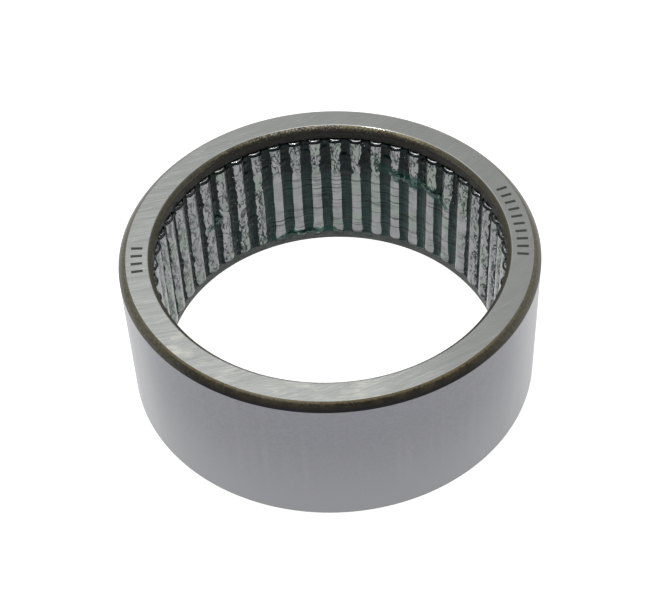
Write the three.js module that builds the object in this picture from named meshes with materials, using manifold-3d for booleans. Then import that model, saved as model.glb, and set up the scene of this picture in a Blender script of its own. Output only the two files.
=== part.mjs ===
// Full-complement needle roller bearing: one machined outer ring with a rib at each end of its
// raceway, fifty needle rollers side by side with no cage, and the grease packed behind them.
// The shaft runs straight on the needles, so there is no inner ring.
// Millimetres. +Z is the bearing axis and the origin is the centre of the bearing.

import * as THREE from 'three';
import { mergeVertices } from 'three/addons/utils/BufferGeometryUtils.js';
import Module from 'manifold-3d';

// Driving dimensions.
const OUTER_DIAMETER = 55; // seat in the housing
const WIDTH = 22;
const NEEDLE_BORE = 45; // circle that the needles leave open for the shaft
const NEEDLE_DIAMETER = 3;
const NEEDLE_LENGTH = 17.8;
const NEEDLE_COUNT = 50;
const NEEDLE_CORNER = 0.45; // radius of the rounded edge at each end of a needle
const RIB_BORE = 46.1; // wider than the needle bore, so the shaft never touches the ribs
const OUTER_CHAMFER = 1;
const BORE_CHAMFER = 0.6;
const RUNNING_CLEARANCE = 0.02; // needle to raceway
const END_CLEARANCE = 0.1; // needle end to rib
const GREASE_GAP = 0.05; // grease to the steel around it, so no two solids touch
const GREASE_DEPTH = 0.6; // how far a fillet of grease reaches in from the raceway
const GREASE_SLOPE = THREE.MathUtils.degToRad(35); // flare of a fillet's two sides
const GREASE_BEAD = 0.2; // leg of the bead in each corner of the raceway

// Mesh resolution. Three ring facets stand behind each needle, so all needles fit alike.
const RING_SEGMENTS = 3 * NEEDLE_COUNT;
const BEAD_SEGMENTS = NEEDLE_COUNT; // one facet across each gap between two needles
const NEEDLE_SEGMENTS = 16;
const CORNER_STEPS = 2;

// Places worked out from the dimensions above.
const outerRadius = OUTER_DIAMETER / 2;
const halfWidth = WIDTH / 2;
const needleRadius = NEEDLE_DIAMETER / 2;
const needleHalf = NEEDLE_LENGTH / 2;
const pitchRadius = NEEDLE_BORE / 2 + needleRadius;
const pitchAngle = (2 * Math.PI) / NEEDLE_COUNT;
const racewayRadius = pitchRadius + needleRadius + RUNNING_CLEARANCE;
const racewayHalf = needleHalf + END_CLEARANCE;
const ribRadius = RIB_BORE / 2;

const ringSteel = new THREE.MeshStandardMaterial({
  name: 'ring_steel',
  color: 0x8f9094,
  roughness: 0.38,
  metalness: 1,
});
const needleSteel = new THREE.MeshStandardMaterial({
  name: 'needle_steel',
  color: 0xb9bdbf,
  roughness: 0.18,
  metalness: 1,
});
const greenGrease = new THREE.MeshStandardMaterial({
  name: 'grease',
  color: 0x1e5a49,
  roughness: 0.2,
  metalness: 0,
});

const wasm = await Module();
wasm.setup();

function mesh(name, geometry, material) {
  const part = new THREE.Mesh(geometry, material);
  part.name = name;
  return part;
}

// Turns an outline of [radius, height] points about +Z, with its first facet edge on +X.
function turned(outline, segments) {
  const points = outline.map(([radius, height]) => new THREE.Vector2(radius, height));
  const geometry = new THREE.LatheGeometry(points, segments);
  geometry.rotateX(Math.PI / 2);
  geometry.rotateZ(Math.PI / 2);
  return geometry;
}

// The same outline mirrored in the plane z = 0, still going round the same way.
function flipped(outline) {
  return outline.map(([radius, height]) => [radius, -height]).reverse();
}

function mirrored(lower) {
  return [...lower, ...flipped(lower)];
}

function closed(outline) {
  return [...outline, outline[0]];
}

function outerRing() {
  const lower = [
    [racewayRadius, -racewayHalf],
    [ribRadius, -racewayHalf],
    [ribRadius, BORE_CHAMFER - halfWidth],
    [ribRadius + BORE_CHAMFER, -halfWidth],
    [outerRadius - OUTER_CHAMFER, -halfWidth],
    [outerRadius, OUTER_CHAMFER - halfWidth],
  ];
  return mesh('outer_ring', turned(closed(mirrored(lower)), RING_SEGMENTS), ringSteel);
}

// Flat end face, rounded edge, then the straight flank: a needle's outline from its axis out.
function needleOutline() {
  const lower = [[0, -needleHalf]];
  for (let step = 0; step <= CORNER_STEPS; step += 1) {
    const angle = ((Math.PI / 2) * step) / CORNER_STEPS;
    lower.push([
      needleRadius - NEEDLE_CORNER * (1 - Math.sin(angle)),
      NEEDLE_CORNER * (1 - Math.cos(angle)) - needleHalf,
    ]);
  }
  return mirrored(lower);
}

function needles() {
  const geometry = turned(needleOutline(), NEEDLE_SEGMENTS);
  return Array.from({ length: NEEDLE_COUNT }, (_, index) => {
    const needle = mesh(`needle_${String(index + 1).padStart(2, '0')}`, geometry, needleSteel);
    const angle = index * pitchAngle;
    needle.position.set(pitchRadius * Math.cos(angle), pitchRadius * Math.sin(angle), 0);
    needle.rotation.z = angle;
    return needle;
  });
}

// A fillet lies in the wedge that two needles leave against the raceway. Each of its sides is a
// straight line that passes the needle beside it at the grease gap.
function filletHalfWidth(radius) {
  const centreRadius = pitchRadius * Math.cos(pitchAngle / 2);
  const centreOffset = pitchRadius * Math.sin(pitchAngle / 2);
  const clearRadius = needleRadius + GREASE_GAP;
  const rise = (radius - centreRadius) * Math.cos(GREASE_SLOPE);
  return centreOffset + (rise - clearRadius) / Math.sin(GREASE_SLOPE);
}

function greaseFillet(length) {
  const outer = racewayRadius - GREASE_GAP;
  const inner = outer - GREASE_DEPTH;
  const section = new THREE.Shape([
    new THREE.Vector2(inner, -filletHalfWidth(inner)),
    new THREE.Vector2(outer, -filletHalfWidth(outer)),
    new THREE.Vector2(outer, filletHalfWidth(outer)),
    new THREE.Vector2(inner, filletHalfWidth(inner)),
  ]);
  const geometry = new THREE.ExtrudeGeometry(section, { depth: length, bevelEnabled: false });
  return geometry.translate(0, 0, -length / 2);
}

// The grease travels round with the needles. A thin bead in the corner beside each rib joins
// the fillets into one piece, past the rounded ends of the needles.
function grease() {
  const radius = racewayRadius - GREASE_GAP;
  const height = racewayHalf - GREASE_GAP;
  const lowerBead = [
    [radius - GREASE_BEAD, -height],
    [radius, -height],
    [radius, GREASE_BEAD - height],
  ];
  const beads = [lowerBead, flipped(lowerBead)].map(
    (outline) => turned(closed(outline), BEAD_SEGMENTS),
  );
  const fillet = greaseFillet(2 * height);
  const fillets = Array.from(
    { length: NEEDLE_COUNT },
    (_, index) => fillet.clone().rotateZ((index + 0.5) * pitchAngle),
  );
  const solid = [...beads, ...fillets].map(toManifold).reduce((whole, piece) => whole.add(piece));
  return mesh('grease', toGeometry(solid), greenGrease);
}

function toManifold(geometry) {
  const bare = geometry.clone();
  bare.deleteAttribute('normal');
  bare.deleteAttribute('uv');
  const merged = mergeVertices(bare);
  return new wasm.Manifold(new wasm.Mesh({
    numProp: 3,
    vertProperties: new Float32Array(merged.attributes.position.array),
    triVerts: new Uint32Array(merged.index.array),
  }));
}

function toGeometry(manifold) {
  const joined = manifold.getMesh();
  const geometry = new THREE.BufferGeometry();
  geometry.setAttribute('position', new THREE.BufferAttribute(joined.vertProperties, 3));
  geometry.setIndex(new THREE.BufferAttribute(joined.triVerts, 1));
  geometry.computeVertexNormals();
  return geometry;
}

const bearing = new THREE.Group();
bearing.name = 'needle_roller_bearing';
bearing.add(outerRing(), grease(), ...needles());

export default bearing;
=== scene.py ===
"""Looks of the needle roller bearing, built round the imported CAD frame.

The ring, the needles and the grease are rebuilt as finer meshes in the CAD's own places, with
procedural materials. They stand on a pale floor in a plain room.
"""

import math

import bpy
from mathutils import Matrix, Vector, noise


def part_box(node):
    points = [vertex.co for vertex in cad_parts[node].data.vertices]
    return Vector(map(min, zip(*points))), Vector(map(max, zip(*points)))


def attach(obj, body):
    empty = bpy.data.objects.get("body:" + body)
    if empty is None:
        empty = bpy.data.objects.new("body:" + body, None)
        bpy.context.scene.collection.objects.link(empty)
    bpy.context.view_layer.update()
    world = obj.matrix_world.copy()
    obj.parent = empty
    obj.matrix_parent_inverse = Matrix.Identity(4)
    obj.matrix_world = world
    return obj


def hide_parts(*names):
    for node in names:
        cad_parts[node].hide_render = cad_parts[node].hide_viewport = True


MM = 0.001  # every length is in metres, as the frame is

# Camera: the photograph's viewing angle. The middle of the ring's top face lies this far right,
# up and forward of the lens.
LENS = 90.45
SENSOR = 36.0
VIEW_ELEVATION = math.radians(46.909)
VIEW_ROLL = math.radians(-2.508)
FACE_SEEN_AT = Vector((-0.43, 7.88, 217.1)) * MM
CAMERA_CLIP = (0.01, 20)

# Fineness of the meshes
RING_STEPS = 480
NEEDLE_STEPS = 64
ARC_STEPS = 6
CHAMFER_STEPS = 8
GREASE_ROWS = 104
GREASE_FRONT = 11  # points across the bore side of the grease in one gap
SMEAR_STEP = 0.12 * MM
HOLD = 0.06 * MM  # a loop this far from a corner keeps the flat next to it flat

# Shape details that are finer than the CAD solids
EDGE_ROUND = 0.08 * MM
WORN_ROUND = 0.15 * MM  # between a face and its bore chamfer
CHAMFER_TURN = math.radians(32)  # by which an outer chamfer bulges

# Ground faces: the wheel's arcs, and rows of etched ticks as (azimuth of the middle, number of ticks)
GRIND_CENTRE = (-39 * MM, 78 * MM, 0.0)
GRIND_R = 110 * MM
MARK_ROWS = ((math.radians(183), 4), (math.radians(7), 10))
MARK_STEP = math.radians(3.2)
MARK_HALF_WIDTH = 0.16  # of a step
MARK_HALF_LENGTH = 0.75 * MM
MARK_BLUR = 0.05 * MM

# Needles: |x| over which the painted shine of their ends, bright rim and dark band, fades from
# the back of the ring to its sides
ENDS_BRIGHT = 15 * MM
ENDS_DULL = 19.5 * MM

# Grease film: the area that was combed smooth lies this far from x = COMBED_MIDDLE, below COMBED_TOP
COMBED_MIDDLE = 5 * MM
COMBED_REACH = 13.5 * MM
COMBED_TOP = 3.2 * MM

# Grease in the gaps: the angle from a needle's crown, about the needle's axis, at which it starts
BARE_LOW = math.radians(27.0)  # where it was combed
BARE_FOOT = math.radians(5.0)  # more than that just above the lower rib
BARE_NECK = math.radians(22.0)  # where the wrinkled grease begins
BARE_TOP = math.radians(33.0)  # under the upper rib
BARE_SIDE = math.radians(46.0)  # at the two sides of the ring
BARE_LEAST = math.radians(7.0)
FOOT_HEIGHT = 1.2 * MM  # middle of the foot above the needle's lower end
FOOT_REACH = 1.4 * MM
COMB_STEP = 0.9 * MM  # height of the steps that combing left in the edge
WRINKLED_RISE = 4.5 * MM  # height over which the neck widens to the top
SIDE_START, SIDE_REACH = 0.45, 0.35  # the sides by the cosine of the azimuth: start and width
GREASE_DEEP = [math.radians(50), math.radians(75)]  # where it follows the needle behind its edge
GREASE_SINK = 0.01 * MM  # how far it reaches into the needle there
GREASE_TUCK = 0.02  # angle by which it is sunk in already, before its edge
GREASE_PROUD = 0.025 * MM  # how far its edge stands off the needle
GREASE_END_GAP = 0.03 * MM
FRONT_SPAN = 0.07  # azimuth over which the lumps across one gap are picked
LUMPS_COMBED = 0.012 * MM
LUMPS_WRINKLED = 0.055 * MM  # more than where it was combed

# Thick smears: name, azimuth (deg), height, half length, half height (mm), fall along the azimuth
# (deg), thickness (mm)
SMEARS = [
    ("smear_fold", 62, 3.9, 3.6, 1.1, -12, 0.13),
    ("smear_tail", 50, 3.2, 3.0, 0.9, -22, 0.10),
    ("smear_low", 99, -8.4, 5.0, 0.7, 0, 0.20),
    ("smear_left", 134, 0.0, 1.3, 0.9, 10, 0.10),
    ("smear_near", 244, 3.8, 4.0, 1.2, 14, 0.13),
    ("smear_near_low", 310, -8.4, 5.0, 0.7, 0, 0.18),
]
SMEAR_MARGIN = 1.35  # its ragged edge stays within this many of its half sizes
SMEAR_EDGE = 0.75  # its edge would run here if it weren't ragged
SMEAR_SINK = 0.12 * MM  # how far its back lies under the surface

# Studio: how brightly each part glows, and the sines of the elevations between which they blend
FLOOR_GLOW = 0.97  # the floor lights the object from below, as a light table does
FLOOR_HALF = 2.0
FLOOR_CORNERS = ((-1, -1), (1, -1), (1, 1), (-1, 1))
ROOM_TINT = (0.98, 0.99, 1.0)
LOW_WALL, HIGH_WALL = 0.48, 0.31
WALL_BLEND = (math.sin(math.radians(30)), math.sin(math.radians(42)))
CEILING = 0.60
CEILING_BLEND = (math.sin(math.radians(33)), math.sin(math.radians(50)))
CEILING_FRONT = (-0.25, 0.30)  # y of the directions between which the ceiling starts
CEILING_RIGHT = 0.17  # its glow right of a slanting edge
EDGE_RISE, EDGE_SLOPE = 0.669, 1.17
EDGE_BLEND = (0.04, -0.07)
LAMPS = [  # name, place, side and power (W)
    ("overhead", (-0.03, 0.0, 0.7), 0.40, 0.65),
    ("spark", (-0.20, -0.18, 0.60), 0.06, 0.6),
]

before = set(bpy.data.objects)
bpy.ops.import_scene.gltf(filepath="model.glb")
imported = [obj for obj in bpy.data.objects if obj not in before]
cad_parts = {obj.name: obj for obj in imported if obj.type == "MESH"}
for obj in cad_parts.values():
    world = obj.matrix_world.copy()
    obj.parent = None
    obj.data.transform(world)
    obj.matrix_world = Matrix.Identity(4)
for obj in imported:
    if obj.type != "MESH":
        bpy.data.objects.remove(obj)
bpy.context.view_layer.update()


# ---------------------------------------------------------------- dimensions, read from the frame


def rings_of(node_name):
    """The (radius, height) pairs that a turned CAD node's vertices lie on, about the row's Z axis."""
    points = {
        (round(math.hypot(v.co.x, v.co.y), 6), round(v.co.z, 6))
        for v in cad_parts[node_name].data.vertices
    }
    return sorted(points)


ring_points = rings_of("outer_ring")
OUTER_R = max(r for r, z in ring_points)
HALF_WIDTH = max(z for r, z in ring_points)
face_radii = [r for r, z in ring_points if z == HALF_WIDTH]
FACE_IN_R, FACE_OUT_R = min(face_radii), max(face_radii)
RIB_R = min(r for r, z in ring_points)
RIB_EDGE_Z = max(z for r, z in ring_points if r == RIB_R)
RIB_SIDE_Z = min(z for r, z in ring_points if r == RIB_R and z > 0)
OUTER_EDGE_Z = max(z for r, z in ring_points if r == OUTER_R)
RACEWAY_R = max(r for r, z in ring_points if abs(z) == RIB_SIDE_Z)

needle_names = sorted(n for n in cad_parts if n.startswith("needle_"))
NEEDLE_COUNT = len(needle_names)
first_low, first_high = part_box(needle_names[0])
PITCH_R = (first_low.x + first_high.x) / 2
NEEDLE_R = (first_high.x - first_low.x) / 2
NEEDLE_HALF = first_high.z
end_reach = [
    math.hypot(v.co.x - PITCH_R, v.co.y)
    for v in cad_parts[needle_names[0]].data.vertices
    if abs(v.co.z - NEEDLE_HALF) < 1e-6
]
NEEDLE_CORNER = NEEDLE_R - max(end_reach)
PITCH_ANGLE = math.tau / NEEDLE_COUNT
CROWN_R = PITCH_R - NEEDLE_R
HALF_GAP = PITCH_R * math.sin(PITCH_ANGLE / 2)  # half the distance between two needles' axes
GAP_R = PITCH_R * math.cos(PITCH_ANGLE / 2)
GREASE_HALF = RIB_SIDE_Z - GREASE_END_GAP

# ---------------------------------------------------------------- node helpers


def put(tree, socket, value):
    """Links value to the socket if it is another node's output, and otherwise sets it."""
    if isinstance(value, bpy.types.NodeSocket):
        tree.links.new(value, socket)
    else:
        socket.default_value = value


def add(tree, kind, inputs=None, **settings):
    """Adds a shader node with these settings and inputs, by name or number."""
    made = tree.nodes.new("ShaderNode" + kind)
    for name, value in settings.items():
        setattr(made, name, value)
    for key, value in (inputs or {}).items():
        put(tree, made.inputs[key], value)
    return made


def maths(tree, operation, a, b=0.0):
    return add(tree, "Math", {0: a, 1: b}, operation=operation).outputs[0]


def plus(tree, a, b):
    return maths(tree, "ADD", a, b)


def minus(tree, a, b):
    return maths(tree, "SUBTRACT", a, b)


def times(tree, a, b):
    return maths(tree, "MULTIPLY", a, b)


def larger(tree, a, b):
    return maths(tree, "MAXIMUM", a, b)


def absolute(tree, value):
    return maths(tree, "ABSOLUTE", value)


def axes(tree, place):
    """The x, y and z of a place."""
    return add(tree, "SeparateXYZ", {0: place}).outputs


def flat_place(tree, x, y):
    return add(tree, "CombineXYZ", {0: x, 1: y, 2: 0.0}).outputs[0]


def length(tree, place):
    return add(tree, "VectorMath", {0: place}, operation="LENGTH").outputs["Value"]


def past_azimuth(tree, azimuth, middle):
    """How far an azimuth lies past this middle one, from half a turn before it to half a turn past."""
    off = minus(tree, azimuth, middle)
    return add(tree, "Math", {0: off, 1: math.pi, 2: -math.pi}, operation="WRAP").outputs[0]


def remap(tree, value, low, high, to_low=0.0, to_high=1.0):
    """value from low..high to to_low..to_high with soft ends, held beyond them."""
    made = add(
        tree,
        "MapRange",
        {"Value": value, "From Min": low, "From Max": high, "To Min": to_low, "To Max": to_high},
        interpolation_type="SMOOTHSTEP",
    )
    return made.outputs["Result"]


def grain(tree, place, size, detail=2.0, roughness=0.5, stretch=(1, 1, 1), turn=0.0):
    """Noise whose features are about this size in metres, longer along an axis by its stretch."""
    mapped = add(
        tree,
        "Mapping",
        {"Vector": place, "Rotation": (0, 0, turn), "Scale": [1 / (size * s) for s in stretch]},
    )
    made = add(
        tree,
        "TexNoise",
        {"Vector": mapped.outputs[0], "Scale": 1.0, "Detail": detail, "Roughness": roughness},
    )
    return made.outputs["Fac"]


def mix(tree, share, a, b):
    """Colour a where share is 0 and b where it is 1."""
    made = add(tree, "Mix", {"Factor": share}, data_type="RGBA")
    put(tree, made.inputs[6], a)
    put(tree, made.inputs[7], b)
    return made.outputs[2]


def rgb(red, green, blue):
    return (red, green, blue, 1.0)


def new_material(name, **values):
    """A material with one Principled shader. Constant values go straight on its sockets."""
    made = bpy.data.materials.new(name)
    made.use_nodes = True
    tree = made.node_tree
    shader = tree.nodes["Principled BSDF"]
    for key, value in values.items():
        shader.inputs[key.replace("_", " ")].default_value = value
    place = add(tree, "TexCoord").outputs["Object"]
    return made, tree, shader, place


def relief(tree, shader, height, depth):
    """Bump of this depth in metres, from a height between 0 and 1."""
    made = add(tree, "Bump", {"Strength": 1.0, "Distance": depth, "Height": height})
    tree.links.new(made.outputs["Normal"], shader.inputs["Normal"])


# ---------------------------------------------------------------- mesh helpers


def add_piece(name, verts, faces, materials, material_of=None):
    """A mesh object in the row frame. material_of gives each face's material number."""
    mesh = bpy.data.meshes.new(name)
    mesh.from_pydata([tuple(v) for v in verts], [], faces)
    for m in materials:
        mesh.materials.append(m)
    if material_of is not None:
        mesh.polygons.foreach_set("material_index", material_of)
    mesh.polygons.foreach_set("use_smooth", [True] * len(mesh.polygons))
    mesh.update()
    piece = bpy.data.objects.new(name, mesh)
    bpy.context.scene.collection.objects.link(piece)
    return piece


def arc(corner, before, after, radius):
    """Points of a round of this radius at a corner of an outline, from before's side to after's."""
    a = (Vector(before) - Vector(corner)).normalized()
    b = (Vector(after) - Vector(corner)).normalized()
    half = a.angle(b) / 2
    centre = Vector(corner) + (a + b).normalized() * radius / math.sin(half)
    start = Vector(corner) + a * radius / math.tan(half) - centre
    turn = math.pi - 2 * half
    sign = 1 if a.x * b.y - a.y * b.x < 0 else -1
    return [
        centre + Matrix.Rotation(sign * turn * i / ARC_STEPS, 2) @ start
        for i in range(ARC_STEPS + 1)
    ]


def lathe(outline, steps):
    """A closed outline of (radius, height) points turned about Z: vertices, and faces row by row."""
    count = len(outline)
    verts = []
    for s in range(steps):
        angle = math.tau * s / steps
        verts += [(r * math.cos(angle), r * math.sin(angle), z) for r, z in outline]
    faces = []
    for s in range(steps):
        here, there = s * count, (s + 1) % steps * count
        for i in range(count):
            j = (i + 1) % count
            faces.append((here + i, there + i, there + j, here + j))
    return verts, faces


# ---------------------------------------------------------------- materials


def blend_of(tree, a, share_a, b):
    """share_a of a and the rest of b."""
    return plus(tree, times(tree, a, share_a), times(tree, b, 1 - share_a))


def shifted(tree, value, field, reach):
    """value moved up or down by a noise field, by half of reach at most."""
    return plus(tree, value, times(tree, minus(tree, field, 0.5), reach))


def thin_lines(tree, field, half_width):
    """1 on the lines where a noise field crosses its middle value, fading to 0 beside them."""
    off = absolute(tree, minus(tree, field, 0.5))
    return remap(tree, off, half_width, 0.3 * half_width)


def wheel_arcs(tree, place):
    """Coordinates across and along the arcs that a grinding wheel leaves on a face."""
    off = add(tree, "VectorMath", {0: place, 1: GRIND_CENTRE}, operation="SUBTRACT").outputs[0]
    off_x, off_y, _ = axes(tree, off)
    angle = maths(tree, "ARCTAN2", off_y, off_x)
    return flat_place(tree, length(tree, off), times(tree, angle, GRIND_R))


def index_marks(tree, place):
    """1 on two short rows of plain etched ticks, which stand where the real ring is marked."""
    across, along, _ = axes(tree, place)
    azimuth = maths(tree, "ARCTAN2", along, across)
    shown = None
    for middle, count in MARK_ROWS:
        steps = maths(tree, "DIVIDE", past_azimuth(tree, azimuth, middle), MARK_STEP)
        from_tick = minus(tree, steps, 0.5 if count % 2 == 0 else 0.0)
        off_tick = absolute(tree, minus(tree, from_tick, maths(tree, "ROUND", from_tick)))
        on_tick = remap(tree, off_tick, MARK_HALF_WIDTH * 1.25, MARK_HALF_WIDTH * 0.75)
        in_row = maths(tree, "LESS_THAN", absolute(tree, steps), count / 2)
        row = times(tree, on_tick, in_row)
        shown = row if shown is None else larger(tree, shown, row)
    radius = length(tree, flat_place(tree, across, along))
    off_line = absolute(tree, minus(tree, radius, (FACE_IN_R + FACE_OUT_R) / 2))
    band = remap(tree, off_line, MARK_HALF_LENGTH + MARK_BLUR, MARK_HALF_LENGTH - MARK_BLUR)
    return times(tree, shown, band)


def ground_face():
    """Top and bottom faces: pale ground steel, scratched in arcs most on the left and near side."""
    made, tree, shader, place = new_material("ground_face", Metallic=1.0)
    arcs = wheel_arcs(tree, place)
    fine = grain(tree, arcs, 0.11 * MM, detail=3.0, roughness=0.6, stretch=(1, 160, 1))
    broad = grain(tree, arcs, 0.8 * MM, detail=3.0, stretch=(1, 14, 1))
    cloud = grain(tree, place, 5 * MM, detail=2.0)
    across, along, _ = axes(tree, place)
    towards = plus(tree, times(tree, across, -0.8), times(tree, along, -0.6))
    scratched = remap(tree, towards, -12 * MM, 12 * MM, 0.3, 1.0)
    crossing = grain(tree, place, 0.22 * MM, detail=2.0, stretch=(14, 1, 1), turn=math.radians(28))
    shade = blend_of(tree, blend_of(tree, fine, 0.6, broad), 0.78, crossing)
    tone = times(tree, remap(tree, shade, 0.38, 0.64, -0.5, 0.5), scratched)
    tone = plus(tree, tone, 0.5)
    colour = mix(tree, tone, rgb(0.452, 0.463, 0.442), rgb(0.59, 0.60, 0.573))
    oblique = math.radians(-48)
    patch = grain(
        tree, place, 1.7 * MM, detail=4.0, roughness=0.6, stretch=(1.8, 1, 1), turn=oblique
    )
    # Painted glints: pale warm streaks on the near side of the face.
    streak = times(tree, remap(tree, patch, 0.46, 0.72), remap(tree, crossing, 0.35, 0.60, 0.4, 1.0))
    streak = times(tree, streak, remap(tree, along, -4 * MM, -18 * MM, 0.0, 0.85))
    streak = times(tree, streak, remap(tree, across, 14 * MM, 9 * MM))
    colour = mix(tree, streak, colour, rgb(0.77, 0.755, 0.68))
    scratch = grain(tree, arcs, 0.45 * MM, detail=2.0, stretch=(1, 40, 1))
    where = grain(tree, arcs, 2.5 * MM, detail=1.0, stretch=(1, 2, 1))
    scored = times(tree, thin_lines(tree, scratch, 0.022), remap(tree, where, 0.42, 0.60))
    scored = times(tree, scored, scratched)
    colour = mix(tree, times(tree, scored, 0.65), colour, rgb(0.80, 0.80, 0.76))
    marks = index_marks(tree, place)
    colour = mix(tree, times(tree, marks, 0.9), colour, rgb(0.055, 0.05, 0.04))
    put(tree, shader.inputs["Base Color"], colour)
    gloss = remap(tree, cloud, 0.3, 0.7, 0.13, 0.18)
    put(tree, shader.inputs["Roughness"], larger(tree, gloss, times(tree, marks, 0.6)))
    relief(tree, shader, times(tree, fine, scratched), 0.002 * MM)
    return made


def outer_scale():
    """Unground outer chamfers: almost black oxide, olive-brown towards the face with a warm line at
    its edge, and paler at the sides, where the paleness is painted sheen."""
    made, tree, shader, place = new_material("outer_scale", IOR=1.5, Specular_IOR_Level=0.34)
    speck = grain(tree, place, 0.3 * MM, detail=4.0, roughness=0.65)
    cloud = grain(tree, place, 2.5 * MM, detail=2.0)
    tone = remap(tree, blend_of(tree, speck, 0.45, cloud), 0.36, 0.60)
    across, _, high = axes(tree, place)
    near_face = remap(tree, absolute(tree, high), OUTER_EDGE_Z, HALF_WIDTH, 0.0, 1.0)
    # Painted sheen: paler at the sides.
    at_side = remap(tree, absolute(tree, across), 15 * MM, 26 * MM, 0.0, 0.75)
    paler = mix(tree, remap(tree, speck, 0.40, 0.60), rgb(0.092, 0.084, 0.058), rgb(0.155, 0.143, 0.100))
    brown = mix(tree, tone, rgb(0.018, 0.014, 0.006), rgb(0.064, 0.050, 0.026))
    edge = remap(tree, shifted(tree, near_face, speck, 0.3), 0.86, 1.0, 0.0, 0.8)
    brown = mix(tree, edge, brown, rgb(0.20, 0.16, 0.085))
    colour = mix(tree, near_face, rgb(0.001, 0.001, 0.003), brown)
    put(tree, shader.inputs["Base Color"], mix(tree, at_side, colour, paler))
    put(tree, shader.inputs["Roughness"], remap(tree, speck, 0.3, 0.7, 0.30, 0.42))
    relief(tree, shader, speck, 0.012 * MM)
    return made


def inner_scale():
    """Bore chamfers: rough tan-olive scale, with pale specks at the back and front that are bare
    steel and painted glints, and duller and even at the sides, in painted shade."""
    made, tree, shader, place = new_material("inner_scale", Metallic=0.6)
    speck = grain(tree, place, 0.22 * MM, detail=4.0, roughness=0.7)
    cloud = grain(tree, place, 3.0 * MM, detail=2.0)
    tone = remap(tree, blend_of(tree, speck, 0.6, cloud), 0.38, 0.64)
    colour = mix(tree, tone, rgb(0.105, 0.091, 0.052), rgb(0.46, 0.405, 0.24))
    across, _, high = axes(tree, place)
    at_back = remap(tree, absolute(tree, across), 20 * MM, 11 * MM)
    # Pale specks: bare steel with painted glints among them, most at the back and front and round x = -4
    # mm.
    worn = remap(tree, absolute(tree, plus(tree, across, 4 * MM)), 9 * MM, 3 * MM, 0.0, 0.08)
    bare_specks_and_glints = times(tree, remap(tree, plus(tree, speck, worn), 0.58, 0.66), at_back)
    colour = mix(tree, bare_specks_and_glints, colour, rgb(0.68, 0.66, 0.56))
    near_face = remap(tree, absolute(tree, high), RIB_EDGE_Z + 0.12 * MM, HALF_WIDTH - 0.08 * MM)
    near_face = shifted(tree, near_face, speck, 1.0)
    # Painted shade at the sides: a duller, even colour over the whole chamfer.
    at_side = remap(tree, at_back, 0.0, 1.0, 0.75, 0.0)
    at_side = times(tree, at_side, remap(tree, speck, 0.35, 0.60, 0.5, 1.0))
    near_face = larger(tree, near_face, at_side)
    colour = mix(tree, at_back, rgb(0.150, 0.143, 0.100), colour)
    put(tree, shader.inputs["Base Color"], mix(tree, near_face, rgb(0.030, 0.026, 0.018), colour))
    put(tree, shader.inputs["Roughness"], remap(tree, speck, 0.3, 0.7, 0.62, 0.36))
    relief(tree, shader, speck, 0.05 * MM)
    return made


def satin_outside():
    """The ground outside diameter: satin steel with very faint bands along the axis, a little
    paler low down, as a painted reflection of the floor, and at the sides, as painted sheen."""
    made, tree, shader, place = new_material("satin_outside", Metallic=1.0)
    bands = grain(tree, place, 1.6 * MM, detail=3.0, stretch=(1, 1, 40))
    fine = grain(tree, place, 0.12 * MM, detail=2.0, stretch=(12, 12, 1))
    mottle = grain(tree, place, 0.45 * MM, detail=3.0, roughness=0.7)
    tone = remap(tree, blend_of(tree, mottle, 0.6, fine), 0.3, 0.7)
    colour = mix(tree, tone, rgb(0.162, 0.163, 0.178), rgb(0.194, 0.195, 0.210))
    across, _, high = axes(tree, place)
    # Painted reflection of the floor: paler colour low down.
    low = remap(tree, high, 6 * MM, -11 * MM)
    colour = mix(tree, times(tree, low, 0.9), colour, rgb(0.232, 0.234, 0.246))
    # Painted sheen: paler at the sides.
    at_side = remap(tree, absolute(tree, across), 21 * MM, 26 * MM, 0.0, 0.8)
    colour = mix(tree, at_side, colour, rgb(0.264, 0.265, 0.279))
    # The faint bands, painted brighter low down as the floor's reflection.
    bands_with_painted_sheen = times(tree, remap(tree, bands, 0.50, 0.70), remap(tree, high, 7 * MM, -3 * MM, 0.1, 0.45))
    put(tree, shader.inputs["Base Color"], mix(tree, bands_with_painted_sheen, colour, rgb(0.225, 0.224, 0.237)))
    put(tree, shader.inputs["Roughness"], remap(tree, bands, 0.3, 0.7, 0.345, 0.36))
    relief(tree, shader, fine, 0.002 * MM)
    return made


def dark_bore():
    """Rib bore, rib sides and raceway: brown-black scale under a film of grease."""
    made, tree, shader, place = new_material("dark_bore", Specular_IOR_Level=0.13)
    speck = grain(tree, place, 0.3 * MM, detail=4.0, roughness=0.65)
    lines = grain(tree, place, 0.14 * MM, detail=2.0, stretch=(14, 14, 1))
    tone = remap(tree, blend_of(tree, speck, 0.5, lines), 0.36, 0.66)
    high = axes(tree, place)[2]
    low_rib = remap(tree, high, -8 * MM, -9 * MM)
    dark = mix(tree, tone, rgb(0.003, 0.003, 0.002), rgb(0.030, 0.027, 0.020))
    pale = mix(tree, tone, rgb(0.040, 0.047, 0.046), rgb(0.115, 0.125, 0.12))
    put(tree, shader.inputs["Base Color"], mix(tree, low_rib, dark, pale))
    put(tree, shader.inputs["Roughness"], remap(tree, speck, 0.3, 0.7, 0.25, 0.5))
    relief(tree, shader, speck, 0.02 * MM)
    return made


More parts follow.
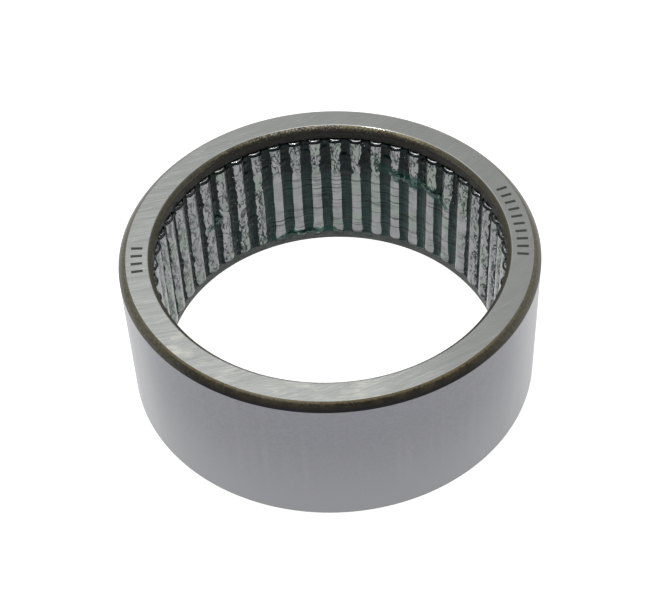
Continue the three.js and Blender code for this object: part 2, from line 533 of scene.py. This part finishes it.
def film_marks(tree, place):
    """The grease film's marks, one pattern over needles and grease: black curls where it is worked
    up, high and at the sides, and combed lines across the rest. Gives the curls, the lines and how
    worked up the film is."""
    across, _, high = axes(tree, place)
    patch = grain(tree, place, 5 * MM, detail=1.0)
    sideways = absolute(tree, minus(tree, across, COMBED_MIDDLE))
    sideways = shifted(tree, sideways, patch, 6 * MM)
    at_side = remap(tree, sideways, COMBED_REACH - 1 * MM, COMBED_REACH + 1.5 * MM)
    upwards = shifted(tree, high, patch, 4 * MM)
    at_top = remap(tree, upwards, COMBED_TOP - 1 * MM, COMBED_TOP + 1 * MM)
    worked = larger(tree, at_side, at_top)
    curl = grain(tree, place, 1.2 * MM, detail=2.0, roughness=0.6, stretch=(1, 1, 2.1))
    crease = grain(tree, place, 0.6 * MM, detail=2.0, roughness=0.6, stretch=(1, 1, 3.2))
    blot = grain(tree, place, 0.8 * MM, detail=3.0, roughness=0.6, stretch=(1, 1, 1.6))
    curls = larger(tree, thin_lines(tree, curl, 0.042), thin_lines(tree, crease, 0.045))
    curls = times(tree, curls, remap(tree, blot, 0.38, 0.50))
    curls = larger(tree, curls, remap(tree, blot, 0.66, 0.71))
    comb = grain(tree, place, 0.75 * MM, detail=2.0, roughness=0.6, stretch=(30, 30, 1))
    weight = grain(tree, place, 0.6 * MM, detail=0.0, stretch=(8, 8, 1))
    lines = times(tree, thin_lines(tree, comb, 0.035), remap(tree, weight, 0.40, 0.60))
    lines = times(tree, lines, minus(tree, 1.0, worked))
    return times(tree, curls, worked), lines, worked


def smeared_over(tree, place):
    """How much the smears' thin green rims cover here, from 0 to 1."""
    across, along, high = axes(tree, place)
    azimuth = maths(tree, "ARCTAN2", along, across)
    ragged = grain(tree, place, 1.3 * MM, detail=3.0, roughness=0.6)
    shown = None
    for _, middle, height, reach, rise, tilt, _ in SMEARS:
        sideways = times(tree, past_azimuth(tree, azimuth, math.radians(middle)), CROWN_R)
        fallen = times(tree, sideways, math.tan(math.radians(tilt)))
        upwards = plus(tree, minus(tree, high, height * MM), fallen)
        sideways = maths(tree, "DIVIDE", sideways, reach * MM)
        upwards = maths(tree, "DIVIDE", upwards, rise * MM)
        off = length(tree, flat_place(tree, sideways, upwards))
        cover = remap(tree, shifted(tree, off, ragged, -2.2), 1.25, 0.75)
        shown = cover if shown is None else larger(tree, shown, cover)
    return shown


def needle_steel():
    """Polished needles under a thin film of grease that is wrinkled and smeared in places. Each end
    has a painted highlight, a bright rim, inside a dark band of grease and painted shade, dimmer and
    broken up at the sides of the ring."""
    made, tree, shader, place = new_material("needle_steel", Metallic=1.0)
    curls, lines, worked = film_marks(tree, place)
    across, _, high = axes(tree, place)
    at_back = remap(tree, absolute(tree, across), ENDS_DULL, ENDS_BRIGHT, 0.0, 0.95)
    cloud = grain(tree, place, 1.2 * MM, detail=3.0, stretch=(1, 1, 2))
    tint = grain(tree, place, 5 * MM, detail=2.0)
    colour = mix(tree, remap(tree, cloud, 0.36, 0.64), rgb(0.20, 0.205, 0.208), rgb(0.25, 0.25, 0.257))
    green = times(tree, remap(tree, tint, 0.46, 0.60), 0.7)
    colour = mix(tree, green, colour, rgb(0.205, 0.243, 0.212))
    colour = mix(tree, times(tree, smeared_over(tree, place), 0.85), colour, rgb(0.020, 0.066, 0.055))
    curled = times(tree, curls, remap(tree, across, -19 * MM, -15 * MM, 0.65, 0.92))
    dark = larger(tree, curled, times(tree, lines, 0.65))
    colour = mix(tree, dark, colour, rgb(0.012, 0.020, 0.019))
    from_end = minus(tree, NEEDLE_HALF, absolute(tree, high))
    # A dark band near each end: grease on the corner, darkened further as painted shade, strongest at the
    # back.
    oily_painted_shade = remap(tree, from_end, 1.05 * NEEDLE_CORNER, 0.7 * NEEDLE_CORNER)
    oily_painted_shade = times(tree, oily_painted_shade, remap(tree, at_back, 0.0, 0.95, 0.55, 0.95))
    colour = mix(tree, oily_painted_shade, colour, rgb(0.022, 0.030, 0.030))
    # Painted highlight: a bright rim on each end's corner, dimmer and broken up at the sides.
    rim = remap(tree, from_end, 0.135 * NEEDLE_CORNER, 0.10 * NEEDLE_CORNER)
    broken = remap(tree, grain(tree, place, 0.35 * MM), 0.49, 0.58, 0.0, 0.45)
    rim = times(tree, rim, larger(tree, at_back, broken))
    put(tree, shader.inputs["Base Color"], mix(tree, rim, colour, rgb(0.93, 0.94, 0.95)))
    put(tree, shader.inputs["Roughness"], remap(tree, cloud, 0.3, 0.7, 0.10, 0.18))
    swell = grain(tree, place, 0.5 * MM, detail=2.0, stretch=(1, 1, 2))
    swell = times(tree, swell, remap(tree, worked, 0.0, 1.0, 0.2, 1.2))
    height = plus(tree, swell, times(tree, larger(tree, curls, lines), -0.8))
    relief(tree, shader, height, 0.015 * MM)
    return made


def grease_material():
    """Dark slate-green grease, wet and glossy, drawn out along the needles and black high up."""
    made, tree, shader, place = new_material("grease", IOR=1.45, Specular_IOR_Level=0.13)
    curls, lines, worked = film_marks(tree, place)
    across, along, high = axes(tree, place)
    turns = maths(tree, "DIVIDE", maths(tree, "ARCTAN2", along, across), PITCH_ANGLE)
    off_middle = absolute(tree, minus(tree, maths(tree, "FRACT", turns), 0.5))
    streak = grain(tree, place, 0.30 * MM, detail=2.0, stretch=(1, 1, 14))
    cloud = grain(tree, place, 2.2 * MM, detail=3.0)
    # Painted reflection: the middle of each gap is paler, as the hollow reflects the floor there.
    middle = times(tree, remap(tree, off_middle, 0.17, 0.04), remap(tree, cloud, 0.35, 0.60))
    drawn = remap(tree, streak, 0.35, 0.65)
    teal = mix(tree, drawn, rgb(0.003, 0.018, 0.017), rgb(0.012, 0.044, 0.040))
    colour = mix(tree, middle, teal, rgb(0.019, 0.042, 0.040))
    comb = grain(tree, place, 0.55 * MM, detail=2.0, roughness=0.6, stretch=(24, 24, 1))
    combed = minus(tree, 1.0, worked)
    pale = times(tree, thin_lines(tree, comb, 0.03), combed)
    colour = mix(tree, times(tree, pale, 0.6), colour, rgb(0.045, 0.075, 0.070))
    deep = remap(tree, shifted(tree, high, cloud, 5 * MM), 0.5 * MM, 6.0 * MM, 0.0, 0.95)
    deep = larger(tree, deep, times(tree, worked, 0.35))
    colour = mix(tree, deep, colour, rgb(0.001, 0.010, 0.009))
    colour = mix(tree, larger(tree, curls, lines), colour, rgb(0.001, 0.003, 0.003))
    colour = mix(tree, times(tree, smeared_over(tree, place), 0.8), colour, rgb(0.004, 0.045, 0.036))
    put(tree, shader.inputs["Roughness"], remap(tree, cloud, 0.3, 0.7, 0.06, 0.22))
    # Painted glints: pale flecks where the film is worked up.
    painted_glint_fleck = grain(tree, place, 0.3 * MM, detail=1.0)
    painted_glint_fleck = times(tree, painted_glint_fleck, remap(tree, cloud, 0.40, 0.55, 0.8, 1.0))
    painted_glint_fleck = times(tree, remap(tree, painted_glint_fleck, 0.735, 0.77), worked)
    colour = mix(tree, painted_glint_fleck, colour, rgb(0.52, 0.56, 0.56))
    put(tree, shader.inputs["Base Color"], colour)
    lump = grain(tree, place, 0.45 * MM, detail=3.0, stretch=(1, 1, 1.6))
    lump = times(tree, lump, remap(tree, worked, 0.0, 1.0, 0.1, 2.5))
    ribbed = plus(tree, times(tree, streak, 0.4), times(tree, lines, -1.0))
    relief(tree, shader, plus(tree, ribbed, lump), 0.03 * MM)
    return made


def smear_material():
    """Thicker smears of the same grease, with paler green flecks painted in for their glints and for
    the light that comes through them.
    """
    made, tree, shader, place = new_material("smeared_grease", IOR=1.45, Specular_IOR_Level=0.3)
    cloud = grain(tree, place, 1.1 * MM, detail=3.0)
    painted_glint_fleck = grain(tree, place, 0.7 * MM, detail=3.0)
    colour = mix(tree, remap(tree, cloud, 0.35, 0.65), rgb(0.003, 0.017, 0.015), rgb(0.008, 0.058, 0.042))
    # Painted glints: paler green flecks.
    colour = mix(tree, remap(tree, painted_glint_fleck, 0.57, 0.68), colour, rgb(0.15, 0.26, 0.18))
    put(tree, shader.inputs["Base Color"], colour)
    put(tree, shader.inputs["Roughness"], remap(tree, cloud, 0.3, 0.7, 0.14, 0.30))
    relief(tree, shader, painted_glint_fleck, 0.05 * MM)
    return made


def studio_floor():
    """A pale matt floor that glows a little, so that it lights the object from below."""
    made, tree, shader, place = new_material(
        "studio_floor", Roughness=0.8, Emission_Color=rgb(1, 1, 1), Emission_Strength=FLOOR_GLOW
    )
    cloud = grain(tree, place, 0.3, detail=1.0)
    put(tree, shader.inputs["Base Color"], mix(tree, cloud, rgb(0.50, 0.50, 0.50), rgb(0.52, 0.52, 0.52)))
    return made


MAKERS = [ground_face, outer_scale, inner_scale, satin_outside, dark_bore]
GROUND, SCALE, TAN, SATIN, DARK = range(len(MAKERS))

# ---------------------------------------------------------------- outer ring


def bulged(start, end):
    """Points from start to end along a chamfer's arc, which bulges to the right of the way."""
    start, end = Vector(start), Vector(end)
    chord = end - start
    radius = chord.length / 2 / math.sin(CHAMFER_TURN / 2)
    side = Vector((chord.y, -chord.x)).normalized()
    centre = (start + end) / 2 - side * radius * math.cos(CHAMFER_TURN / 2)
    return [
        centre + Matrix.Rotation(CHAMFER_TURN * i / CHAMFER_STEPS, 2) @ (start - centre)
        for i in range(CHAMFER_STEPS + 1)
    ]


def closed_outline(spans):
    """Joins (material, points) spans into a closed outline with rounded joints. Gives each edge's
    material too."""
    points, owners = [], []
    for k, (owner, span) in enumerate(spans):
        last_owner, last = spans[k - 1]
        worn = {last_owner, owner} == {GROUND, TAN}
        joint = arc(span[0], last[-2], span[1], WORN_ROUND if worn else EDGE_ROUND)
        half = len(joint) // 2
        points += joint
        if worn:
            owners += [GROUND] * (len(joint) - 1) + [owner]
        else:
            owners += [last_owner] * half + [owner] * (len(joint) - half)
        inner = [Vector(p) for p in span[1:-1]]
        if not inner:
            start, end = Vector(span[0]), Vector(span[1])
            step = (end - start).normalized() * (EDGE_ROUND + HOLD)
            inner = [start + step, end - step]
        points += inner
        owners += [owner] * len(inner)
    return points, owners


def mirrored_spans(spans):
    """The same spans below the middle plane, in the order that carries on round the outline."""
    return [(owner, [(p[0], -p[1]) for p in reversed(span)]) for owner, span in reversed(spans)]


def outer_ring(materials):
    """The ring: its outline, whose edges each have their own material, turned about the axis."""
    upper = [
        (SCALE, bulged((OUTER_R, OUTER_EDGE_Z), (FACE_OUT_R, HALF_WIDTH))),
        (GROUND, [(FACE_OUT_R, HALF_WIDTH), (FACE_IN_R, HALF_WIDTH)]),
        (TAN, [(FACE_IN_R, HALF_WIDTH), (RIB_R, RIB_EDGE_Z)]),
        (DARK, [(RIB_R, RIB_EDGE_Z), (RIB_R, RIB_SIDE_Z)]),
        (DARK, [(RIB_R, RIB_SIDE_Z), (RACEWAY_R, RIB_SIDE_Z)]),
    ]
    raceway = [(DARK, [(RACEWAY_R, RIB_SIDE_Z), (RACEWAY_R, -RIB_SIDE_Z)])]
    outside = [(SATIN, [(OUTER_R, -OUTER_EDGE_Z), (OUTER_R, OUTER_EDGE_Z)])]
    outline, owners = closed_outline(upper + raceway + mirrored_spans(upper) + outside)
    verts, faces = lathe(outline, RING_STEPS)
    piece = add_piece("ring", verts, faces, materials, owners * RING_STEPS)
    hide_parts("outer_ring")
    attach(piece, "outer_ring")
    return piece


# ---------------------------------------------------------------- needles


def needle(name, azimuth, material):
    """One needle: a polished roller with rounded corners, in its place at this azimuth."""
    flat = NEEDLE_R - NEEDLE_CORNER
    corner = [
        (
            flat + NEEDLE_CORNER * math.sin(t * math.pi / 2 / ARC_STEPS),
            NEEDLE_HALF - NEEDLE_CORNER * (1 - math.cos(t * math.pi / 2 / ARC_STEPS)),
        )
        for t in range(ARC_STEPS + 1)
    ]
    top = [(flat - HOLD, NEEDLE_HALF)] + corner + [(NEEDLE_R, NEEDLE_HALF - NEEDLE_CORNER - HOLD)]
    outline = [(r, -z) for r, z in top] + top[::-1]
    count = len(outline)
    turn = Matrix.Rotation(azimuth, 3, "Z")
    verts, faces = [], []
    for s in range(NEEDLE_STEPS):
        angle = math.tau * s / NEEDLE_STEPS
        for r, z in outline:
            verts.append(turn @ Vector((PITCH_R + r * math.cos(angle), r * math.sin(angle), z)))
        here, there = s * count, (s + 1) % NEEDLE_STEPS * count
        faces += [(here + i, there + i, there + i + 1, here + i + 1) for i in range(count - 1)]
    for pole, ring in ((-NEEDLE_HALF, 0), (NEEDLE_HALF, count - 1)):
        verts.append(turn @ Vector((PITCH_R, 0, pole)))
        centre = len(verts) - 1
        for s in range(NEEDLE_STEPS):
            pair = (s * count + ring, (s + 1) % NEEDLE_STEPS * count + ring)
            faces.append((centre, *pair) if pole > 0 else (centre, *reversed(pair)))
    piece = add_piece(name + "_polished", verts, faces, [material])
    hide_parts(name)
    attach(piece, name)
    return piece


# ---------------------------------------------------------------- grease


def wobble(azimuth, z, size, seed):
    """Smooth noise from -1 to 1 over the bore, with features of about this size. Each seed gives a
    pattern of its own."""
    place = Vector((math.cos(azimuth) * PITCH_R, math.sin(azimuth) * PITCH_R, z)) / size
    return noise.noise(place + Vector((seed * 17.3, 0, 0)))


def worked_up(azimuth, z):
    """0 where the film was combed smooth, 1 where it is wrinkled: high up and at the sides."""
    off_side = abs(PITCH_R * math.cos(azimuth) - COMBED_MIDDLE) - COMBED_REACH
    off_top = z - COMBED_TOP + 1.5 * MM * wobble(azimuth, 0.0, 5 * MM, 3)
    return min(1.0, max(0.0, max(off_side, off_top) / (2 * MM) + 0.5))


def crown_edge(azimuth, z, side):
    """Angle from a needle's crown at which the grease beside it starts: wavy along the needle."""
    slow = wobble(azimuth, z, 2.6 * MM, 1 + side)
    quick = wobble(azimuth, z, 0.7 * MM, 5 + side)
    step = wobble(azimuth, round(z / COMB_STEP) * COMB_STEP, 3 * MM, 8 + side)
    foot = BARE_FOOT * max(0.0, 1 - abs(z + NEEDLE_HALF - FOOT_HEIGHT) / FOOT_REACH)
    combed = BARE_LOW + foot + math.radians(1.8 * slow + 1.0 * quick + 2.2 * step)
    share = worked_up(azimuth, z)
    if share == 0:
        return combed
    above = min(1.0, max(0.0, (z - COMBED_TOP) / WRINKLED_RISE))
    beside = min(1.0, max(0.0, abs(math.cos(azimuth)) - SIDE_START) / SIDE_REACH)
    neck = BARE_NECK if z > COMBED_TOP - 1 * MM else BARE_LOW
    base = neck + (BARE_TOP - neck) * above
    base += (BARE_SIDE - base) * beside
    bite = max(0.0, wobble(azimuth, z, 1.1 * MM, 10 + side) - 0.15)
    wrinkled = base + math.radians(5.0 * slow + 4.5 * quick - 22.0 * bite)
    return combed * (1 - share) + max(wrinkled, BARE_LEAST) * share


def grease_section(left, right, lumps):
    """Outline of the grease in one gap, as (tangential, inward) points. It meets the needles at
    these angles."""

    def on_needle(side, angle, out):
        r = NEEDLE_R + out
        return Vector((side * (HALF_GAP - r * math.sin(angle)), r * math.cos(angle)))

    start, end = on_needle(-1, left, GREASE_PROUD), on_needle(1, right, GREASE_PROUD)
    down = Vector((math.cos(left), -math.sin(left)))
    up = Vector((-math.cos(right), -math.sin(right)))
    cross = down.x * up.y - down.y * up.x
    gap = end - start
    control = start + down * ((gap.x * up.y - gap.y * up.x) / cross)
    front = []
    for i in range(GREASE_FRONT):
        t = i / (GREASE_FRONT - 1)
        point = start * (1 - t) ** 2 + control * 2 * t * (1 - t) + end * t * t
        point.y += lumps[i] * 4 * t * (1 - t)
        front.append(point)
    right_side = [on_needle(1, a, -GREASE_SINK) for a in [right - GREASE_TUCK] + GREASE_DEEP]
    left_side = [on_needle(-1, a, -GREASE_SINK) for a in GREASE_DEEP[::-1] + [left - GREASE_TUCK]]
    return front + right_side + left_side


def gap_section(number, z):
    """The grease's outline at this height in one gap, lumpy in front, in the row frame."""
    middle = (number + 0.5) * PITCH_ANGLE
    inward = Vector((-math.cos(middle), -math.sin(middle)))
    sideways = Vector((math.sin(middle), -math.cos(middle)))
    left = PITCH_ANGLE / 2 + crown_edge((number + 1) * PITCH_ANGLE, z, 0)
    right = PITCH_ANGLE / 2 + crown_edge(number * PITCH_ANGLE, z, 1)
    lumpy = LUMPS_COMBED + LUMPS_WRINKLED * worked_up(middle, z)
    lumps = [
        lumpy * wobble(middle - (i / (GREASE_FRONT - 1) - 0.5) * FRONT_SPAN, z, 0.55 * MM, 12)
        for i in range(GREASE_FRONT)
    ]
    flat = [sideways * p.x + inward * (p.y - GAP_R) for p in grease_section(left, right, lumps)]
    return [(p.x, p.y, z) for p in flat]


def grease(material):
    """Grease that fills the gaps between the needles, hollow and lumpy on the bore side."""
    verts, faces = [], []
    for number in range(NEEDLE_COUNT):
        base = len(verts)
        for row in range(GREASE_ROWS + 1):
            section = gap_section(number, GREASE_HALF * (2 * row / GREASE_ROWS - 1))
            verts += section
        count = len(section)
        for row in range(GREASE_ROWS):
            here = base + row * count
            for i in range(count):
                j = (i + 1) % count
                faces.append((here + i, here + j, here + count + j, here + count + i))
        top = base + GREASE_ROWS * count
        faces.append(tuple(base + i for i in reversed(range(count))))
        faces.append(tuple(top + i for i in range(count)))
    piece = add_piece("grease_film", verts, faces, [material])
    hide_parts("grease")
    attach(piece, "needle_row")
    return piece


def row_surface(azimuth):
    """Radius of the bore side of the needles and of the grease between them."""
    off = (azimuth / PITCH_ANGLE + 0.5) % 1 - 0.5
    reach = PITCH_R * math.sin(off * PITCH_ANGLE)
    if abs(off) * PITCH_ANGLE * PITCH_R < NEEDLE_R * math.sin(BARE_LOW):
        return PITCH_R * math.cos(off * PITCH_ANGLE) - math.sqrt(NEEDLE_R**2 - reach**2)
    lean = BARE_LOW + PITCH_ANGLE / 2
    hollow_y = HALF_GAP / math.tan(lean)
    hollow_r = HALF_GAP / math.sin(lean) - NEEDLE_R
    from_gap = (0.5 - abs(off)) * PITCH_ANGLE * PITCH_R
    return GAP_R - hollow_y + math.sqrt(hollow_r**2 - from_gap**2)


def smear_skin(inside, columns, rows):
    """Faces of a closed blob: its front and back wherever all four points are inside, and its rim."""
    count = columns * rows
    faces, edges = [], {}
    for i in range(columns - 1):
        for j in range(rows - 1):
            a, b = i * rows + j, (i + 1) * rows + j
            quad = (a, a + 1, b + 1, b)
            if all(inside[v] for v in quad):
                faces += [quad, tuple(v + count for v in reversed(quad))]
                for edge in zip(quad, quad[1:] + quad[:1]):
                    edges[edge] = True
    for start, end in edges:
        if (end, start) not in edges:
            faces.append((end, start, start + count, end + count))
    return faces


def smear(name, middle, height, reach, rise, tilt, thick, material):
    """A closed, ragged blob of grease on the row, thickest in its middle and sunk in at its edge."""
    centre = math.radians(middle)
    slope = math.tan(math.radians(tilt))
    span_a = SMEAR_MARGIN * reach * MM / CROWN_R
    span_z = SMEAR_MARGIN * (rise + abs(slope) * reach) * MM
    low_z = max(height * MM - span_z, -GREASE_HALF)
    high_z = min(height * MM + span_z, GREASE_HALF)
    columns = int(2 * span_a * CROWN_R / SMEAR_STEP) + 1
    rows = int((high_z - low_z) / SMEAR_STEP) + 1
    front, back, inside = [], [], []
    for i in range(columns):
        off = span_a * (2 * i / (columns - 1) - 1)
        azimuth = centre + off
        under = row_surface(azimuth)
        for j in range(rows):
            z = low_z + (high_z - low_z) * j / (rows - 1)
            sideways = off * CROWN_R / (reach * MM)
            upwards = (z - height * MM + off * CROWN_R * slope) / (rise * MM)
            ragged = 0.55 * wobble(azimuth, z, 1.5 * MM, 21) + 0.35 * wobble(azimuth, z, 0.6 * MM, 22)
            share = SMEAR_EDGE - math.hypot(sideways, upwards) + ragged
            lift = thick * MM * (min(share, 0.8) - 0.10) * (1 + 0.6 * wobble(azimuth, z, 0.5 * MM, 23))
            filled = under + (CROWN_R - under) * 0.75 * min(1.0, max(0.0, share * 1.4))
            for points, r in ((front, filled - lift), (back, under + SMEAR_SINK)):
                points.append((r * math.cos(azimuth), r * math.sin(azimuth), z))
            inside.append(share > 0)
    faces = smear_skin(inside, columns, rows)
    points = front + back
    used = sorted({v for face in faces for v in face})
    number = {v: n for n, v in enumerate(used)}
    verts = [points[v] for v in used]
    piece = add_piece(name, verts, [tuple(number[v] for v in face) for face in faces], [material])
    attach(piece, "needle_row")
    return piece


# ---------------------------------------------------------------- studio


def camera():
    """The camera at the photograph's viewing angle, placed by where it sees the ring's top face."""
    forward = Vector((0, math.cos(VIEW_ELEVATION), -math.sin(VIEW_ELEVATION)))
    upward = Vector((0, math.sin(VIEW_ELEVATION), math.cos(VIEW_ELEVATION)))
    right = Vector((1, 0, 0))
    c, s = math.cos(VIEW_ROLL), math.sin(VIEW_ROLL)
    right, upward = c * right + s * upward, c * upward - s * right
    seen = FACE_SEEN_AT
    place = Vector((0, 0, HALF_WIDTH)) - right * seen.x - upward * seen.y - forward * seen.z
    data = bpy.data.cameras.new("camera")
    data.lens, data.sensor_width = LENS, SENSOR
    data.clip_start, data.clip_end = CAMERA_CLIP
    made = bpy.data.objects.new("camera", data)
    turned = Matrix((right, upward, -forward)).transposed().to_4x4()
    made.matrix_world = Matrix.Translation(place) @ turned
    bpy.context.scene.collection.objects.link(made)
    bpy.context.scene.camera = made


def floor():
    """A wide square under the ring."""
    corners = [(x * FLOOR_HALF, y * FLOOR_HALF, -HALF_WIDTH) for x, y in FLOOR_CORNERS]
    add_piece("floor", corners, [(0, 1, 2, 3)], [studio_floor()])


def softbox(name, place, size, watts):
    """A square lamp at this place that faces the origin."""
    data = bpy.data.lights.new(name, "AREA")
    data.shape, data.size, data.energy = "SQUARE", size, watts
    lamp = bpy.data.objects.new(name, data)
    lamp.location = place
    lamp.rotation_euler = (-Vector(place)).to_track_quat("-Z", "Y").to_euler()
    bpy.context.scene.collection.objects.link(lamp)


def surroundings():
    """A plain room: dim walls all round, and behind the object a bright ceiling whose right-hand
    part, past a slanting edge, is dimmer."""
    world = bpy.data.worlds.new("studio")
    bpy.context.scene.world = world
    world.use_nodes = True
    tree = world.node_tree
    way = add(tree, "TexCoord").outputs["Generated"]
    across, along, up = axes(tree, way)
    wall = remap(tree, up, *WALL_BLEND, LOW_WALL, HIGH_WALL)
    bright = remap(tree, up, *CEILING_BLEND, 0.0, CEILING)
    edge = times(tree, minus(tree, up, EDGE_RISE), EDGE_SLOPE)
    ahead = larger(tree, along, 0.05)  # never 0, as it divides
    left = remap(tree, minus(tree, maths(tree, "DIVIDE", across, ahead), edge), *EDGE_BLEND)
    ceiling = plus(tree, times(tree, minus(tree, bright, CEILING_RIGHT), left), CEILING_RIGHT)
    strength = plus(tree, wall, times(tree, ceiling, remap(tree, along, *CEILING_FRONT)))
    put(tree, tree.nodes["Background"].inputs["Color"], rgb(*ROOM_TINT))
    put(tree, tree.nodes["Background"].inputs["Strength"], strength)


camera()
floor()
surroundings()
for lamp in LAMPS:
    softbox(*lamp)
bpy.context.scene.view_settings.view_transform = "Standard"

outer_ring([make() for make in MAKERS])
steel = needle_steel()
for number, name in enumerate(needle_names):
    needle(name, number * PITCH_ANGLE, steel)
grease(grease_material())
smeared = smear_material()
for row in SMEARS:
    smear(*row, smeared)
